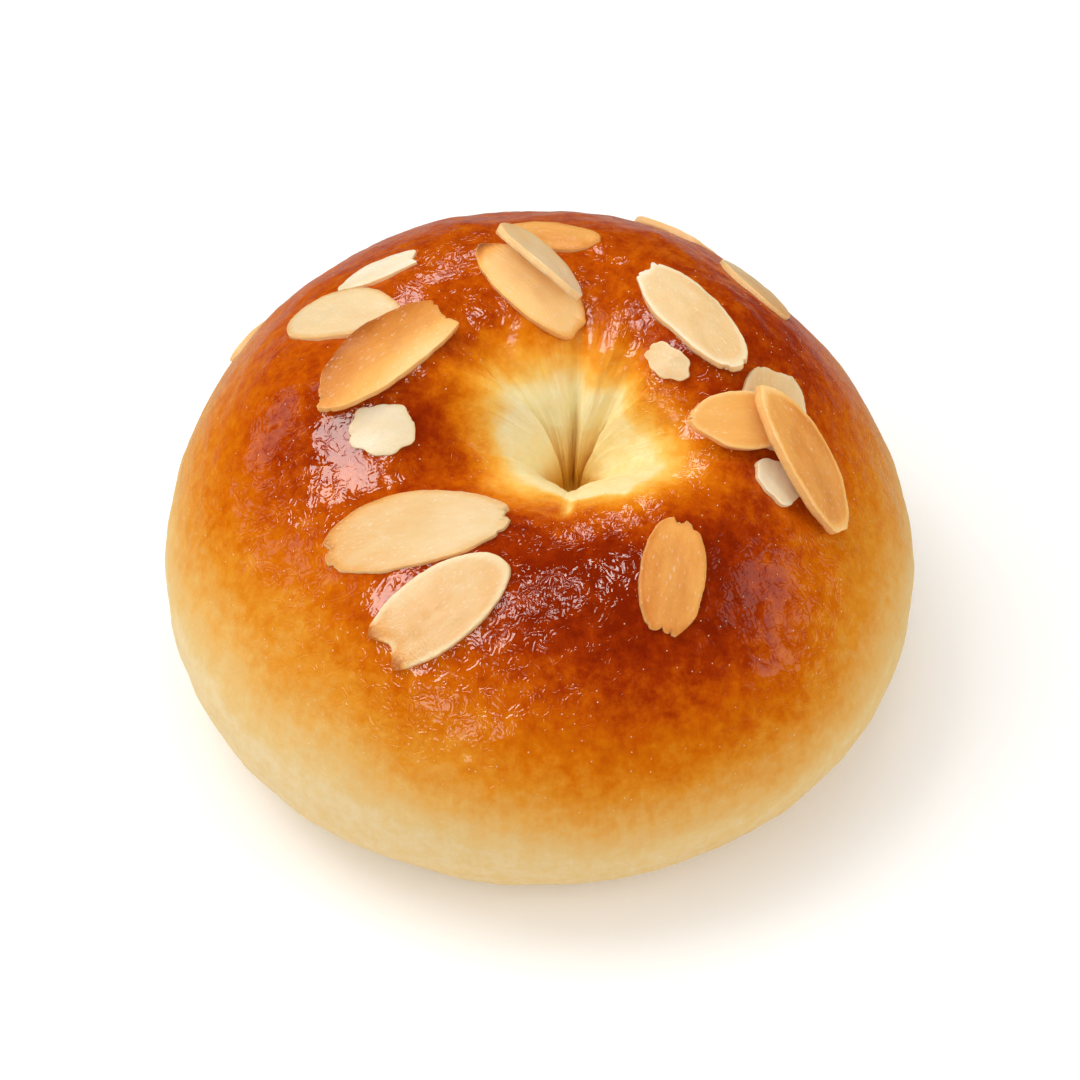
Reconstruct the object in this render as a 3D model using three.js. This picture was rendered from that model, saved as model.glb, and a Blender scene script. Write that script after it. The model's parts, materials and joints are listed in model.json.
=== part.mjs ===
// Glazed round bun with a puckered dimple on top and sliced almonds baked onto its crust.
// Millimetres, +Z up. The bun stands on z = 0 with its middle over the origin, and its shown side faces -Y.

import * as THREE from 'three';

// Bun: heights are above the underside, radii from the middle line
const bunRadius = 42;            // at the widest ring
const widestHeight = 14;
const baseRadius = 26;           // flat underside
const crestRadius = 17.2;        // ring round the dimple
const crestHeight = 47;          // at the back, where it is highest
const throatRadius = 2;          // pinched bottom of the dimple
const throatHeight = 27;
const throatCup = 1;             // how far the closed bottom dips below the throat

// Fullness of each quarter curve: 0.55 is a quarter ellipse, more is squarer and less is flatter
const flankFullness = 0.6;
const shoulderFullness = 0.41;
const lipFullness = 0.52;
const throatFullness = 0.4;

// The crown drifts sideways, dips towards the front and has its dimple off the middle
const crownLean = -1.2;
const frontAzimuth = -79;        // degrees anticlockwise from +X
const frontDrop = 8;             // how much lower the crest is there
const frontReach = 1.5;          // and how much further out
const frontSpread = [-0.3, 0.5];  // cosines of the turn from the front between which the dip grows
const dimpleOffset = new THREE.Vector2(3.5, -2);
const dimpleBlend = [4, 34];     // the offset is whole inside the first radius and gone outside the second

// Lobes gathered between creases that run down into the dimple
const lobeSwell = 0.4;           // rise from crease to lobe on the crest
const lobeBulge = 0.66;          // share of the radius that a lobe closes at the throat
const lobeOnset = 1.6;           // power by which the bulge grows down the wall
const creaseWidening = 0.2;      // share of the bulge that opens the creases instead
const creases = [                // azimuth in degrees, and the share of the bulge that the lobe after it has
  { azimuth: 35, bulge: 1 },
  { azimuth: 85, bulge: 1 },
  { azimuth: 155, bulge: 1.15 },
  { azimuth: 205, bulge: 0.3 },
  { azimuth: 265, bulge: 0.3 },
  { azimuth: 330, bulge: 1 },
];

// Facets
const azimuthSteps = 72;
const flankSteps = 8;
const shoulderSteps = 17;
const wallSteps = 17;
const almondSteps = 36;
const almondRings = [0, 0.62, 1];   // shares of the outline

// Almonds: each is lowered onto what is below it and keeps a small gap
const restGap = 0.32;
const layHeight = 15;            // height that an almond is lowered from
const drapeShare = 0.85;         // how much of the hollow under it a thin almond sinks into
const drapeLimit = 1.4;
const biteWidth = 0.35;          // half width of a broken end's bite, as a share of the almond's half width
const wavers = [                 // waves round a ragged outline and their share of its raggedness
  { waves: 5, share: 1, turn: 1.7 },
  { waves: 9, share: 0.7, turn: 3.9 },
];

// Almond slices and chips in the order they fell. at: plan position of the middle. heading: plan direction
// of the tip in degrees. tip, heel: 1 is an elliptical end, more is pointed, less is blunt. pitch lifts the
// heel, roll lifts the left side, twist turns the tip against the heel, all in degrees. bend: droop of both
// ends. cup: rise of both sides. ragged: share that the outline wavers. broken: the end (1 tip, -1 heel) that
// is snapped off, the share of its half length that is left, the depth of the bite and its place across.
// drape: share of the hollow under it that it sinks into, where it isn't drapeShare.
const almonds = [
  { name: 'almond_slice_01', tone: 'toasted', at: [-1, 10.9], heading: -40, length: 15, width: 7,
    thickness: 0.7, tip: 1.2, heel: 1.25, bend: 0.9, cup: 0.2, ragged: 0.01,
    broken: { end: 1, left: 0.95, bite: 0.2, across: 0.1 } },
  { name: 'almond_slice_02', tone: 'pale', at: [16.2, 6.3], heading: 129, length: 17.2, width: 6.2,
    thickness: 0.8, tip: 1, heel: 0.95, bend: 0.9, ragged: 0.008,
    broken: { end: 1, left: 0.92, bite: 0.6, across: 0.1 } },
  { name: 'almond_chip_01', tone: 'pale', at: [13.6, 1.5], heading: -42, length: 5.4, width: 3.4,
    thickness: 0.6, tip: 1, heel: 0.8, ragged: 0.06 },
  { name: 'almond_slice_03', tone: 'pale', at: [25.1, -1], heading: 105, length: 9.6, width: 8.6,
    thickness: 0.7, tip: 0.75, heel: 1, bend: 0.3, ragged: 0.015,
    broken: { end: 1, left: 0.9, bite: 0.2, across: -0.3 } },
  { name: 'almond_slice_04', tone: 'toasted', at: [21.5, -3.8], heading: 183, length: 13.4, width: 6.4,
    thickness: 0.75, tip: 1.5, heel: 1.1, roll: -4, pitch: -9, bend: 0.2, ragged: 0.015, drape: 0 },
  { name: 'almond_chip_02', tone: 'pale', at: [25.1, -8.9], heading: 150, length: 5.8, width: 4.2,
    thickness: 0.75, tip: 0.8, heel: 0.7, ragged: 0.05 },
  { name: 'almond_slice_05', tone: 'toasted', at: [26.8, -6.5], heading: -38, length: 18.6, width: 6.6,
    thickness: 0.85, tip: 1.25, heel: 1.2, pitch: 5, bend: 1.1, ragged: 0.008, drape: 0,
    broken: { end: 1, left: 0.95, bite: 0.3, across: -0.2 } },
  { name: 'almond_slice_06', tone: 'toasted', at: [13.8, -22.6], heading: 92, length: 13.2, width: 7.3,
    thickness: 0.6, tip: 1, heel: 0.95, bend: 0.9, ragged: 0.015,
    broken: { end: -1, left: 0.94, bite: 0.3, across: 0.2 } },
  { name: 'almond_slice_07', tone: 'pale', at: [-13.4, -17.6], heading: 8, length: 20.6, width: 9,
    thickness: 0.6, tip: 0.85, heel: 1.25, bend: 1.1, ragged: 0.012,
    broken: { end: -1, left: 0.95, bite: 0.7, across: 0.3 } },
  { name: 'almond_slice_08', tone: 'pale', at: [-10.9, -26.3], heading: 37, length: 18, width: 8.2,
    thickness: 0.9, tip: 0.95, heel: 1, bend: 0.9, ragged: 0.006,
    broken: { end: -1, left: 0.82, bite: 1.6, across: -0.05 } },
  { name: 'almond_slice_11', tone: 'pale', at: [-17.3, 14.1], heading: 12, length: 10.2, width: 4,
    thickness: 0.55, tip: 0.9, heel: 1.2, bend: 0.3, ragged: 0.02,
    broken: { end: 1, left: 0.85, bite: 0.7, across: -0.2 } },
  { name: 'almond_slice_09', tone: 'pale', at: [-21.4, 7.6], heading: -22, length: 14.6, width: 8.2,
    thickness: 0.65, tip: 1.2, heel: 0.95, bend: 1, ragged: 0.012 },
  { name: 'almond_slice_10', tone: 'toasted', at: [-16.2, 0.1], heading: 222, length: 19.2, width: 7.6,
    thickness: 0.65, tip: 1.15, heel: 0.9, roll: -4, pitch: -2, bend: 1.4, cup: 0.5, ragged: 0.015, drape: 0,
    broken: { end: -1, left: 0.9, bite: 0.9, across: 0 } },
  { name: 'almond_chip_03', tone: 'pale', at: [-16.7, -7], heading: 8, length: 7, width: 5.4,
    thickness: 0.65, tip: 0.75, heel: 0.85, ragged: 0.06 },
  { name: 'almond_slice_12', tone: 'toasted', at: [1, 18], heading: -8, length: 11.6, width: 5.2,
    thickness: 0.6, tip: 1.1, heel: 1, bend: 0.8, ragged: 0.012 },
  { name: 'almond_slice_13', tone: 'pale', at: [0.4, 13.2], heading: -46, length: 12.4, width: 5.6,
    thickness: 0.6, tip: 1.2, heel: 1, roll: -42, twist: -8, bend: 0.6, drape: 0, ragged: 0.01 },
  { name: 'almond_slice_14', tone: 'pale', at: [15.4, 31.8], heading: 148, length: 11, width: 6.8,
    thickness: 0.65, tip: 1.2, heel: 1, pitch: -9, bend: 0.6, ragged: 0.012 },
  { name: 'almond_slice_15', tone: 'pale', at: [23.8, 17.2], heading: -48, length: 10.8, width: 6.6,
    thickness: 0.7, tip: 1.1, heel: 1, bend: 0.7, ragged: 0.01 },
  { name: 'almond_slice_16', tone: 'pale', at: [-32.3, 23.5], heading: 90, length: 9, width: 4.8,
    thickness: 0.6, tip: 1.1, heel: 1, bend: 0.9, ragged: 0.012 },
  { name: 'almond_slice_17', tone: 'toasted', at: [-12.2, 37.6], heading: 18, length: 14.6, width: 5.8,
    thickness: 0.65, tip: 1.15, heel: 1, bend: 1.5, ragged: 0.012,
    broken: { end: -1, left: 0.88, bite: 0.8, across: 0.1 } },
  { name: 'almond_chip_04', tone: 'pale', at: [6.9, 38.6], heading: 10, length: 6.2, width: 4.6,
    thickness: 0.65, tip: 0.8, heel: 0.85, bend: 0.3, ragged: 0.05 },
];

const finishes = {
  crust: new THREE.MeshStandardMaterial({ color: '#b9621b', roughness: 0.3, metalness: 0 }),
  pale: new THREE.MeshStandardMaterial({ color: '#ecd8ab', roughness: 0.55, metalness: 0 }),
  toasted: new THREE.MeshStandardMaterial({ color: '#d99a52', roughness: 0.5, metalness: 0 }),
};

const { degToRad, radToDeg, euclideanModulo, lerp, smoothstep } = THREE.MathUtils;

// Points of a quarter curve that leaves its start upright or level and arrives square to that
function quarterCurve(start, end, startsUpright, startFullness, endFullness, steps) {
  const corner = startsUpright ? new THREE.Vector2(start.x, end.y) : new THREE.Vector2(end.x, start.y);
  const curve = new THREE.CubicBezierCurve(
    start,
    start.clone().lerp(corner, startFullness),
    end.clone().lerp(corner, endFullness),
    end,
  );
  return curve.getPoints(steps);
}

// Half section of the bun from the middle of its underside to the bottom of its dimple
function bunSection() {
  const baseEdge = new THREE.Vector2(baseRadius, 0);
  const widest = new THREE.Vector2(bunRadius, widestHeight);
  const crest = new THREE.Vector2(crestRadius, crestHeight);
  const throat = new THREE.Vector2(throatRadius, throatHeight);
  return [
    new THREE.Vector2(0, 0),
    ...quarterCurve(baseEdge, widest, false, flankFullness, flankFullness, flankSteps),
    ...quarterCurve(widest, crest, true, shoulderFullness, shoulderFullness, shoulderSteps).slice(1),
    ...quarterCurve(crest, throat, false, lipFullness, throatFullness, wallSteps).slice(1),
    new THREE.Vector2(0, throatHeight - throatCup),
  ];
}

// The lobe that an azimuth falls in: swell is 0 in the creases and 1 in the middle of the lobe
function lobeAt(azimuth) {
  const first = creases[0].azimuth;
  const rounding = 1e-3;
  const turned = euclideanModulo(radToDeg(azimuth) - first, 360) + first;
  const index = creases.findLastIndex((crease) => crease.azimuth <= turned + rounding);
  const start = creases[index].azimuth;
  const end = index + 1 < creases.length ? creases[index + 1].azimuth : first + 360;
  const swell = Math.sin(Math.PI * Math.max(0, (turned - start) / (end - start)));
  return { swell, bulge: creases[index].bulge };
}

// Moves a point of the turned blank to its place on the hand-shaped bun
function shapeBun(point) {
  const radius = Math.hypot(point.x, point.y);
  const inDimple = radius < crestRadius;
  const onUnderside = point.z < throatHeight / 2 && inDimple;
  const onFlank = point.z <= widestHeight && !inDimple;
  if (onUnderside || onFlank) return;

  const azimuth = Math.atan2(point.y, point.x);
  const { swell, bulge } = lobeAt(azimuth);
  const front = smoothstep(Math.cos(azimuth - degToRad(frontAzimuth)), ...frontSpread);

  // The crest follows the lobes and dips at the front
  const foot = inDimple ? throatHeight : widestHeight;
  const crestHere = crestHeight - frontDrop * front + lobeSwell * (swell ** 2 - 0.5);
  const height = foot + (point.z - foot) * (crestHere - foot) / (crestHeight - foot);

  // The crest reaches out at the front, and the lobes close in on the throat
  const innerEdge = inDimple ? throatRadius : bunRadius;
  const nearCrest = Math.max(0, (radius - innerEdge) / (crestRadius - innerEdge));
  const closing = inDimple ? (1 - nearCrest) ** lobeOnset : 0;
  const reached = radius + frontReach * front * nearCrest;
  const shaped = reached * (1 - lobeBulge * bulge * closing * (swell - creaseWidening));

  // The middle line drifts with the lean, then over to the dimple
  const drift = 1 - smoothstep(radius, ...dimpleBlend);
  const climb = (point.z - widestHeight) / (crestHeight - widestHeight);
  const middleX = lerp(crownLean * climb, dimpleOffset.x, drift);
  const middleY = lerp(0, dimpleOffset.y, drift);
  point.set(middleX + shaped * Math.cos(azimuth), middleY + shaped * Math.sin(azimuth), height);
}

// Moves every point of a geometry by a function
function reshape(geometry, move) {
  const position = geometry.attributes.position;
  const point = new THREE.Vector3();
  for (let i = 0; i < position.count; i += 1) {
    point.fromBufferAttribute(position, i);
    move(point);
    position.setXYZ(i, point.x, point.y, point.z);
  }
  geometry.computeVertexNormals();
  return geometry;
}

function makeBun() {
  const blank = new THREE.LatheGeometry(bunSection(), azimuthSteps).rotateX(Math.PI / 2);
  const bun = new THREE.Mesh(reshape(blank, shapeBun), finishes.crust);
  bun.name = 'bun';
  return bun;
}

// Point of an almond's outline, in its own plane with the tip towards +X; order sets how a ragged one wavers
function almondOutline(almond, angle, order) {
  const along = Math.cos(angle);
  const across = Math.sin(angle);
  const pointedness = lerp(almond.heel, almond.tip, (1 + along) / 2);
  const halfLength = almond.length / 2;
  const halfWidth = almond.width / 2;
  let waver = 1;
  for (const { waves, share, turn } of wavers) {
    waver += almond.ragged * share * Math.sin(waves * angle + turn * order);
  }
  const outline = new THREE.Vector2(
    halfLength * along * waver,
    halfWidth * Math.sign(across) * Math.abs(across) ** pointedness * waver,
  );
  const { broken } = almond;
  if (broken && outline.x * broken.end > halfLength * broken.left) {
    const fromBite = (outline.y / halfWidth - broken.across) / biteWidth;
    outline.x = broken.end * (halfLength * broken.left - broken.bite * Math.exp(-(fromBite ** 2)));
  }
  return outline;
}

// A turned disc of unit radius, drawn out to the almond's outline, then bent, cupped and twisted
function almondGeometry(almond, order) {
  const half = almond.thickness / 2;
  const underside = almondRings.map((radius) => new THREE.Vector2(radius, -half));
  const topside = almondRings.map((radius) => new THREE.Vector2(radius, half)).reverse();
  const blank = new THREE.LatheGeometry([...underside, ...topside], almondSteps);
  const { bend = 0, cup = 0, twist = 0 } = almond;
  const lengthwise = new THREE.Vector3(1, 0, 0);
  return reshape(blank.rotateX(Math.PI / 2), (point) => {
    const share = Math.hypot(point.x, point.y);
    const outline = almondOutline(almond, Math.atan2(point.y, point.x), order).multiplyScalar(share);
    const along = 2 * outline.x / almond.length;
    const across = 2 * outline.y / almond.width;
    point.set(outline.x, outline.y, point.z - bend * along ** 2 + cup * across ** 2);
    point.applyAxisAngle(lengthwise, degToRad(twist) * along);
  });
}

// Way from a point, along a direction, to the meshes that it meets
function wayTo(point, direction, toMeshes) {
  const [hit] = new THREE.Raycaster(point, direction).intersectObjects(toMeshes, false);
  return hit ? hit.distance : Infinity;
}

// Shortest way from the points of one mesh, and from half way between them, to the meshes that it meets
function clearance(fromMesh, direction, toMeshes) {
  const position = fromMesh.geometry.attributes.position;
  const point = new THREE.Vector3();
  const previous = new THREE.Vector3();
  let shortest = Infinity;
  for (let i = 0; i < position.count; i += 1) {
    point.fromBufferAttribute(position, i).applyMatrix4(fromMesh.matrixWorld);
    const halfWay = i > 0 ? point.clone().lerp(previous, 0.5) : point;
    shortest = Math.min(shortest, wayTo(point, direction, toMeshes), wayTo(halfWay, direction, toMeshes));
    previous.copy(point);
  }
  return shortest;
}

// Moves an almond along its up direction until it keeps the gap to what is below it
function lower(mesh, up, bun, laid) {
  let fall = clearance(mesh, up.clone().negate(), [bun, ...laid]);
  for (const other of laid) fall = Math.min(fall, clearance(other, up, [mesh]));
  mesh.position.addScaledVector(up, restGap - fall);
  mesh.updateMatrixWorld();
}

// A thin almond sinks a little where it lies hollow, its upper face with its underside
function drape(mesh, up, share, below) {
  const position = mesh.geometry.attributes.position;
  const down = up.clone().negate();
  const ownDown = down.clone().applyQuaternion(mesh.quaternion.clone().invert());
  const perColumn = 2 * almondRings.length;
  const point = new THREE.Vector3();
  for (let column = 0; column <= almondSteps; column += 1) {
    for (let ring = 0; ring < almondRings.length; ring += 1) {
      const underside = column * perColumn + ring;
      const topside = column * perColumn + perColumn - 1 - ring;
      point.fromBufferAttribute(position, underside).applyMatrix4(mesh.matrixWorld);
      const hollow = wayTo(point, down, below) - restGap;
      const sink = Math.min(drapeLimit, share * Math.max(0, hollow));
      for (const index of [underside, topside]) {
        point.fromBufferAttribute(position, index).addScaledVector(ownDown, sink);
        position.setXYZ(index, point.x, point.y, point.z);
      }
    }
  }
  mesh.geometry.computeVertexNormals();
  mesh.geometry.computeBoundingSphere();
}

// Lays an almond on the crust and on the almonds that are already there
function layAlmond(almond, bun, laid) {
  const mesh = new THREE.Mesh(almondGeometry(almond, laid.length), finishes[almond.tone]);
  mesh.name = almond.name;

  const above = new THREE.Vector3(...almond.at, 2 * crestHeight);
  const [crust] = new THREE.Raycaster(above, new THREE.Vector3(0, 0, -1)).intersectObject(bun);
  const up = crust.normal.clone();
  const heading = degToRad(almond.heading);
  const forward = new THREE.Vector3(Math.cos(heading), Math.sin(heading), 0).projectOnPlane(up).normalize();
  const left = new THREE.Vector3().crossVectors(up, forward);
  const { roll = 0, pitch = 0 } = almond;
  const tilt = new THREE.Euler(degToRad(roll), degToRad(pitch), 0);
  mesh.quaternion.setFromRotationMatrix(new THREE.Matrix4().makeBasis(forward, left, up));
  mesh.quaternion.multiply(new THREE.Quaternion().setFromEuler(tilt));

  mesh.position.copy(crust.point).addScaledVector(up, layHeight);
  mesh.updateMatrixWorld();
  lower(mesh, up, bun, laid);
  drape(mesh, up, almond.drape ?? drapeShare, [bun, ...laid]);
  lower(mesh, up, bun, laid);
  return mesh;
}

const bun = makeBun();
const laid = [];
for (const almond of almonds) laid.push(layAlmond(almond, bun, laid));

const almondBun = new THREE.Group();
almondBun.add(bun, ...laid);

export default almondBun;
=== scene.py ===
import json
import math
from functools import partial

import bmesh
import bpy
import numpy as np
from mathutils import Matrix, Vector


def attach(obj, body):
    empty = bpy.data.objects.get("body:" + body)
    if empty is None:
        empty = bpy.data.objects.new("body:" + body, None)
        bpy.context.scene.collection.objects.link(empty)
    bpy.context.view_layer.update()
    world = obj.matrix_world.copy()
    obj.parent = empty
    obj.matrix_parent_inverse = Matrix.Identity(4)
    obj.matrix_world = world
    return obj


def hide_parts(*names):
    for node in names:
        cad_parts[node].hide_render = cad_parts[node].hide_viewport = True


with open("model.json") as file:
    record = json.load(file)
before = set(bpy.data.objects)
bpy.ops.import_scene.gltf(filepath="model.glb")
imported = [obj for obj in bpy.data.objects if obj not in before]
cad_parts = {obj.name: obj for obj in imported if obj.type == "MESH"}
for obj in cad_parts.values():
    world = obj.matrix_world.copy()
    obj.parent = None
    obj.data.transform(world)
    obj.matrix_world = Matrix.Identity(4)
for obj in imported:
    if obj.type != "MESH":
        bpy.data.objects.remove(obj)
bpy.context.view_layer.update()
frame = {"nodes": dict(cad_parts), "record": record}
mm = 0.001
print("frame loaded:", len(frame["nodes"]), "nodes")


# sRGB hex to linear colour
def hexColor(code):
    channels = [int(code[i:i + 2], 16) / 255 for i in (1, 3, 5)]
    return [c / 12.92 if c <= 0.04045 else ((c + 0.055) / 1.055) ** 2.4 for c in channels] + [1]


# adds a node, sets its settings, and fills its inputs with values, nodes (first output) or sockets,
# several at once where the key is a tuple
def addNode(tree, kind, inputs=None, **settings):
    node = tree.nodes.new(kind)
    for name, value in settings.items():
        setattr(node, name, value)
    for keys, values in (inputs or {}).items():
        for key, value in zip(keys, values) if isinstance(keys, tuple) else [(keys, values)]:
            if isinstance(value, bpy.types.Node):
                value = value.outputs[0]
            if isinstance(value, bpy.types.NodeSocket):
                tree.links.new(value, node.inputs[key])
            else:
                node.inputs[key].default_value = value
    return node


# new geometry tree with a geometry in and out and one number input for each size
def newTree(name, sizes):
    tree = bpy.data.node_groups.new(name, "GeometryNodeTree")
    tree.interface.new_socket("Geometry", in_out="INPUT", socket_type="NodeSocketGeometry")
    tree.interface.new_socket("Geometry", in_out="OUTPUT", socket_type="NodeSocketGeometry")
    for size, value in sizes.items():
        socket = tree.interface.new_socket(size, in_out="INPUT", socket_type="NodeSocketFloat")
        socket.default_value = value
    return tree


# runs a tree on an object and keeps the result as its plain mesh
def bakeTree(piece, tree, sizes):
    modifier = piece.modifiers.new(tree.name, "NODES")
    modifier.node_group = tree
    for socket in tree.interface.items_tree:
        if socket.in_out == "INPUT" and socket.name in sizes:
            modifier[socket.identifier] = float(sizes[socket.name])
    seen = piece.evaluated_get(bpy.context.evaluated_depsgraph_get())
    mesh = bpy.data.meshes.new_from_object(seen)
    piece.modifiers.remove(modifier)
    piece.data = mesh
    mesh.name = piece.name
    return piece


# straight-line curve through (x, y) points for a Float Curve node
def setCurve(node, points):
    curve = node.mapping.curves[0]
    while len(curve.points) < len(points):
        curve.points.new(0.5, 0.5)
    for point, place in zip(curve.points, sorted(points)):
        point.location = place
        point.handle_type = "VECTOR"
    node.mapping.update()


# (place, hex colour) steps of a Color Ramp node
def setRamp(node, tones):
    elements = node.color_ramp.elements
    while len(elements) < len(tones):
        elements.new(0.5)
    for element, (place, tone) in zip(elements, tones):
        element.position = place
        element.color = hexColor(tone)


# The bun: millimetres and degrees, azimuth anticlockwise from +X, the shown side at -90
bunForm = {
    "bunRadius": 42, "widestHeight": 14, "baseRadius": 26,
    "crestRadius": 17.2, "crestHeight": 47,               # ring round the dimple
    "throatRadius": 2, "throatHeight": 27, "throatCup": 1,    # where the folds pinch the dimple shut
    "flankFullness": 0.6, "shoulderFullness": 0.41, "lipFullness": 0.52, "throatFullness": 0.4,
    "crownLean": -1.2,
    "frontAzimuth": -79, "frontDrop": 8, "frontReach": 1.5,   # the crest dips and reaches out there
    "frontFar": -0.3, "frontNear": 0.5,     # cosines off the front where that starts and is whole
    "dimpleX": 3.5, "dimpleY": -2, "dimpleWhole": 4, "dimpleGone": 34,
    "lobeSwell": 0.4, "lobeBulge": 0.66, "lobeOnset": 1.85, "creaseWidening": 0.2,
    "creaseWander": 14, "wanderSize": 7,                  # degrees, mm down the wall
    "lumpSize": 11, "lumpHeight": 0.9,                    # soft unevenness of hand-shaped dough
    "rippleSize": 4.6, "rippleHeight": 0.55, "notchDepth": 0.8,
    "bakePatch": 6, "bakePatchSize": 13, "bakePatchDown": 0.3,    # unevenness of the browning
}
# azimuth of each crease, and how much the lobe after it bulges
bunCreases = [(35, 1), (85, 1), (155, 1.15), (205, 0.3), (265, 0.3), (330, 1)]
seamAzimuth = 85                # in the crease at the back
# rows of faces in each stage of the half section
bunRows = {"under": 8, "flank": 28, "shoulder": 88, "wall": 84, "cup": 4}
bunAround = 432
widestStage, crestStage = 2, 3
sectionSteps = 400
skinRun = 33                    # mm along the skin for one stage
mergeGap = 0.002
creaseSharpens = (3.4, 3.66)    # stages between which a crease turns from soft to sharp
lumpsFrom, lumpsWhole = 1, 7    # heights between which the lumps come in
# notch in the lip: degrees past the front, and stage, where it starts, is deepest and ends
notchTurn = [math.radians(front) for front in (344, 349, 354)]
notchStage = (3.12, 3.27, 3.38)
notchPale = 0.6                 # share of the browning that it lacks
# cosines off the front between which the browning's end turns harder, and how hard
lipFar, lipNear, lipHardness = 0.72, 0.95, 0.45
# browning of the crust: share by height at the front, then by azimuth how many mm higher it starts, how deep
# it gets, and where it begins to fade and is gone, as shares of the way down the dimple's wall from the crest
bakeClimb = [(8, 0), (12, 0.04), (14, 0.11), (18, 0.28), (22, 0.47), (26, 0.62), (30, 0.77), (33, 0.89),
             (37, 1)]
bakeLag = [(85, 4), (140, 5), (180, 5.2), (-150, 5), (-135, 4.8), (-120, 4.6), (-105, 2.5), (-90, 0.8),
           (-75, -0.5), (-60, -1.2), (-45, -1.2), (-30, 1.2), (0, 1.6), (40, 3)]
bakeDepth = [(85, 0.74), (120, 0.74), (150, 0.74), (180, 0.74), (-165, 0.88), (-150, 0.83), (-135, 0.83),
             (-120, 0.9), (-90, 0.98), (-75, 1), (-60, 1), (-45, 1), (-30, 0.88), (-15, 0.78), (0, 0.8),
             (15, 0.86), (30, 0.82), (50, 0.74)]
bakeFades = [(85, 0.25), (120, 0.24), (150, 0.24), (165, 0.18), (180, 0.1), (-165, 0.16), (-150, 0.2),
             (-135, 0.1), (-120, 0.06), (-105, 0.06), (-90, -0.08), (-75, -0.06), (-60, -0.12), (-45, -0.18),
             (-30, -0.24), (-15, -0.06), (0, 0.1), (15, 0.2), (45, 0.26)]
bakeGone = [(85, 0.59), (120, 0.54), (150, 0.52), (165, 0.46), (180, 0.44), (-165, 0.44), (-150, 0.5),
            (-135, 0.46), (-120, 0.41), (-105, 0.41), (-90, 0.35), (-75, 0.33), (-60, 0.23), (-45, 0.29),
            (-30, 0.39), (-15, 0.44), (0, 0.5), (15, 0.55), (45, 0.57)]
# browning that is left at least
bakeRest = [(85, 0.02), (140, 0), (180, 0), (-150, 0.02), (-60, 0.08), (0, 0.1), (45, 0.05)]
# a curve holds 0 to 1, so heights are shares of climbTop, and the lags and fades are moved up by these
climbTop, lagShift, fadeShift = 50, 10, 0.3


# (azimuth, value) pairs as curve points round the bun, which starts at the back
def roundTurn(pairs, top):
    points = sorted((((azimuth - seamAzimuth) % 360) / 360, value / top) for azimuth, value in pairs)
    return points + [(1, points[0][1])]


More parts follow.
